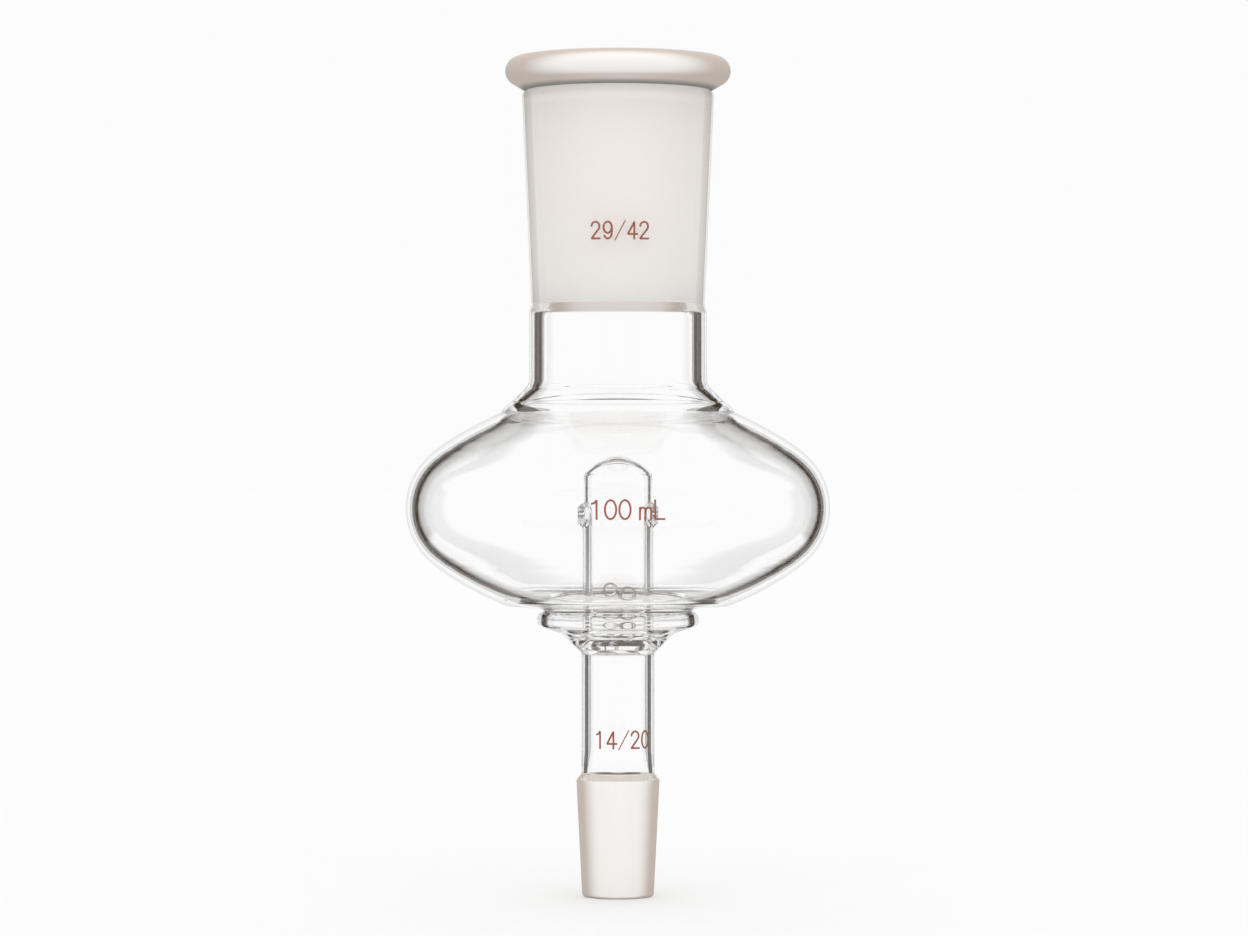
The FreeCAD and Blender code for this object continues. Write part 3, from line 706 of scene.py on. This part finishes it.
# One stroke as a flat band: its middle line cut into short steps, moved half a line width to
# each side along the mean normal, with a half-round at both ends that stops short of a point.
def strokeBand(points, line):
    length = np.concatenate([[0], np.cumsum(np.hypot(*np.diff(points, axis=0).T))])
    at = np.unique(np.concatenate([length, np.arange(0, length[-1], lettering["step"])]))
    middle = np.column_stack([np.interp(at, length, points[:, k]) for k in (0, 1)])
    along = np.gradient(middle, axis=0)
    along /= np.hypot(*along.T)[:, None]
    normal = np.column_stack([-along[:, 1], along[:, 0]])
    count = lettering["endPoints"]
    ease = np.radians(np.linspace(lettering["endTurn"], 90, count + 1)[:-1])[:, None]
    first = middle[0] - along[0] * line / 2 * np.cos(ease)
    last = middle[-1] + along[-1] * line / 2 * np.cos(ease[::-1])
    centre = np.concatenate([first, middle, last])
    width = np.concatenate([np.sin(ease[:, 0]), np.ones(len(middle)), np.sin(ease[::-1, 0])])
    ends = np.repeat(normal[:1], count, 0), np.repeat(normal[-1:], count, 0)
    half = np.concatenate([ends[0], normal, ends[1]]) * (width * line / 2)[:, None]
    return centre + half, centre - half


# A mark: every stroke of its text as a thin closed band, wrapped round the glass at its height.
# The distance across becomes an angle, across over the radius, and the surface's own radius at
# each height carries the enamel.
def makeMark(name, mark, outside):
    vertices, faces = [], []
    scale, count = mark["capHeight"], 0
    wide = mark["starts"][-1] + lettering["lastWidth"] * mark["widen"]
    for start, letter in zip(mark["starts"], mark["text"]):
        for stroke in letterStrokes[letter]:
            points = stroke * [mark["widen"], 1] + [start - wide / 2, -0.5]
            line = lettering["line"] * (lettering["slashShare"] if letter == "/" else 1)
            left, right = strokeBand(points * scale, line)
            steps = len(left)
            for lift in (-lettering["thickness"], lettering["thickness"]):
                for edge in (left, right):
                    vertices.append(np.column_stack([edge, np.full(steps, lift)]))
            a, b, c, d = (count + k * steps + np.arange(steps) for k in range(4))
            for one, two in ((a, b), (b, d), (d, c), (c, a)):
                faces.append(np.column_stack([one[:-1], two[:-1], two[1:], one[1:]]))
            for k in (0, -1):
                faces.append(np.array([[a[k], b[k], d[k], c[k]]]))
            count += 4 * steps
    flat = np.concatenate(vertices)
    height = flat[:, 1] + mark["height"]
    radius = np.interp(height, *outside)
    turn = (flat[:, 0] + mark["across"]) / np.interp(mark["height"], *outside)
    reach = radius + flat[:, 2]
    wrapped = np.column_stack([reach * np.sin(turn), -reach * np.cos(turn), height])
    return meshObject(name, wrapped, np.concatenate(faces).tolist())


glass, outside, places = makeGlass()
glass.data.materials.append(clearBorosilicate(places))
glass.data.materials.append(groundBorosilicate(places))
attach(glass, "root")
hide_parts("glass_body")

enamel = firedEnamel()
for name, mark in marks.items():
    piece = makeMark(name, mark, outside)
    piece.data.materials.append(enamel)
    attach(piece, "root")
print("marks", len(marks))

# The surround's white, its light on matt surfaces, and the bands of cloth with their limits in
# degrees: off the way straight back (inner, outer) and above the level (foot, top), each from
# where the step is at one end to where it is at the other.
stage = {
    "floorHeight": places["coneEnd"], "floorSize": 30000.0, "floor": "#D8D8D8",
    "floorGlow": 0.165, "white": 0.97, "lightAbove": 1.38, "lightBelow": 0.92,
    "lightRise": (-0.8, 0.6), "sideShade": 0.6, "cloth": "#413629", "clothInner": (24.0, 26.5),
    "clothBands": [{"outer": (48.0, 56.0), "foot": (-20.0, -16.0), "top": (40.0, 48.0)},
                   {"outer": (36.0, 42.0), "foot": (-38.0, -34.0), "top": (-12.0, -8.0)}],
}
camera = {"distance": 750.0, "across": 1.05, "height": -70.4, "focalPixels": 4305.0,
          "imageWidth": 1248, "sensor": 36.0, "clip": (0.01, 50.0)}
# Many bounces, because the light crosses glass within glass; no blurring of glossy rays, which
# would dim the ground glass seen through the clear
rays = {"max_bounces": 32, "transmission_bounces": 32, "glossy_bounces": 16,
        "diffuse_bounces": 24, "blur_glossy": 0.0}


# Pale matt floor, with a little glow for the camera alone, so that it is as white as the surround
# behind it and still keeps the shadow. Rays through or off the glass miss it and meet the
# surround, so the glass has no grey line where the floor ends.
def makeFloor():
    half = stage["floorSize"] / 2
    z = stage["floorHeight"]
    corners = np.array([[-half, -half, z], [half, -half, z], [half, half, z], [-half, half, z]])
    floor = meshObject("floor", corners, [[0, 1, 2, 3]])
    material, tree = newMaterial("pale_floor")
    pale = addNode(tree, "ShaderNodeBsdfDiffuse", Color=hexColour(stage["floor"]))
    path = addNode(tree, "ShaderNodeLightPath")
    shown = addNode(tree, "ShaderNodeMath", {"operation": "MULTIPLY"},
                    in0=path.outputs["Is Camera Ray"], in1=stage["floorGlow"])
    glow = addNode(tree, "ShaderNodeEmission", Color=[1, 1, 1, 1], Strength=shown.outputs[0])
    both = addNode(tree, "ShaderNodeAddShader", in0=pale.outputs[0], in1=glow.outputs[0])
    addNode(tree, "ShaderNodeOutputMaterial", Surface=both.outputs[0])
    floor.data.materials.append(material)
    floor.visible_transmission = False
    floor.visible_glossy = False


# Surround: white to the camera. As a light it is an even soft studio, brighter above and dimmer
# at the sides. Through the clear glass and off it, the same white has two bands of dark brown
# cloth behind the object, beyond the part that the camera sees straight through the glass. They
# draw the dark edges. A band is the product of its limits, each a smooth step in the sine or
# cosine of an angle, and the darker of the two bands counts.
def makeWorld():
    world = bpy.data.worlds.new("surround")
    bpy.context.scene.world = world
    world.use_nodes = True
    tree = world.node_tree
    tree.nodes.clear()

    place = addNode(tree, "ShaderNodeTexCoord")
    way = addNode(tree, "ShaderNodeSeparateXYZ", Vector=place.outputs["Generated"])
    cos = lambda angles: [math.cos(math.radians(angle)) for angle in angles]
    sin = lambda angles: [math.sin(math.radians(angle)) for angle in angles]
    inner = cos(stage["clothInner"])
    dark = 0.0
    for cloth in stage["clothBands"]:
        outer, foot, top = cos(cloth["outer"]), sin(cloth["foot"]), sin(cloth["top"])
        band = smoothProduct(tree, [(way.outputs["Y"], outer[1], outer[0]),
                                    (way.outputs["Y"], inner[0], inner[1]),
                                    (way.outputs["Z"], foot[0], foot[1]),
                                    (way.outputs["Z"], top[1], top[0])])
        dark = addNode(tree, "ShaderNodeMath", {"operation": "MAXIMUM"}, in0=dark,
                       in1=band).outputs[0]
    white = [stage["white"]] * 3 + [1]
    pattern = layered(tree, white, [(dark, hexColour(stage["cloth"]))])
    # the light on matt surfaces: the upright part times the shade towards both sides
    upright = addNode(tree, "ShaderNodeMapRange", {"interpolation_type": "SMOOTHSTEP"},
                      Value=way.outputs["Z"], From_Min=stage["lightRise"][0],
                      From_Max=stage["lightRise"][1], To_Min=stage["lightBelow"],
                      To_Max=stage["lightAbove"])
    across = addNode(tree, "ShaderNodeMath", {"operation": "MULTIPLY"}, in0=way.outputs["X"],
                     in1=way.outputs["X"])
    shade = addNode(tree, "ShaderNodeMapRange", {"interpolation_type": "SMOOTHSTEP"},
                    Value=across.outputs[0], To_Min=1.0, To_Max=1.0 - stage["sideShade"])
    plain = addNode(tree, "ShaderNodeMath", {"operation": "MULTIPLY"},
                    in0=upright.outputs["Result"], in1=shade.outputs["Result"])
    # rays through or off the glass that no matt surface has scattered see the cloth
    path = addNode(tree, "ShaderNodeLightPath")
    scattered = addNode(tree, "ShaderNodeMath", {"operation": "GREATER_THAN"},
                        in0=path.outputs["Diffuse Depth"], in1=0.5)
    either = addNode(tree, "ShaderNodeMath", {"operation": "MAXIMUM"},
                     in0=path.outputs["Is Transmission Ray"], in1=path.outputs["Is Glossy Ray"])
    clear = addNode(tree, "ShaderNodeMath", {"operation": "SUBTRACT", "use_clamp": True},
                    in0=either.outputs[0], in1=scattered.outputs[0])
    shown = layered(tree, plain.outputs[0], [(clear.outputs[0], pattern),
                                             (path.outputs["Is Camera Ray"], white)])
    back = addNode(tree, "ShaderNodeBackground", Color=shown, Strength=1.0)
    addNode(tree, "ShaderNodeOutputWorld", Surface=back.outputs[0])


# Camera level with the middle of the object, at the photograph's distance. Its lens is the
# sensor's width times the focal length in pixels over the picture's width in pixels.
def makeCamera():
    data = bpy.data.cameras.new("camera")
    data.sensor_width = camera["sensor"]
    data.lens = camera["sensor"] * camera["focalPixels"] / camera["imageWidth"]
    data.clip_start, data.clip_end = camera["clip"]
    eye = bpy.data.objects.new("camera", data)
    eye.location = (camera["across"] * mm, -camera["distance"] * mm, camera["height"] * mm)
    eye.rotation_euler = (math.pi / 2, 0, 0)
    bpy.context.collection.objects.link(eye)
    bpy.context.scene.camera = eye


makeFloor()
makeWorld()
makeCamera()
scene = bpy.context.scene
scene.view_settings.view_transform = "Standard"
for setting, value in rays.items():
    setattr(scene.cycles, setting, value)
print("stage and camera")
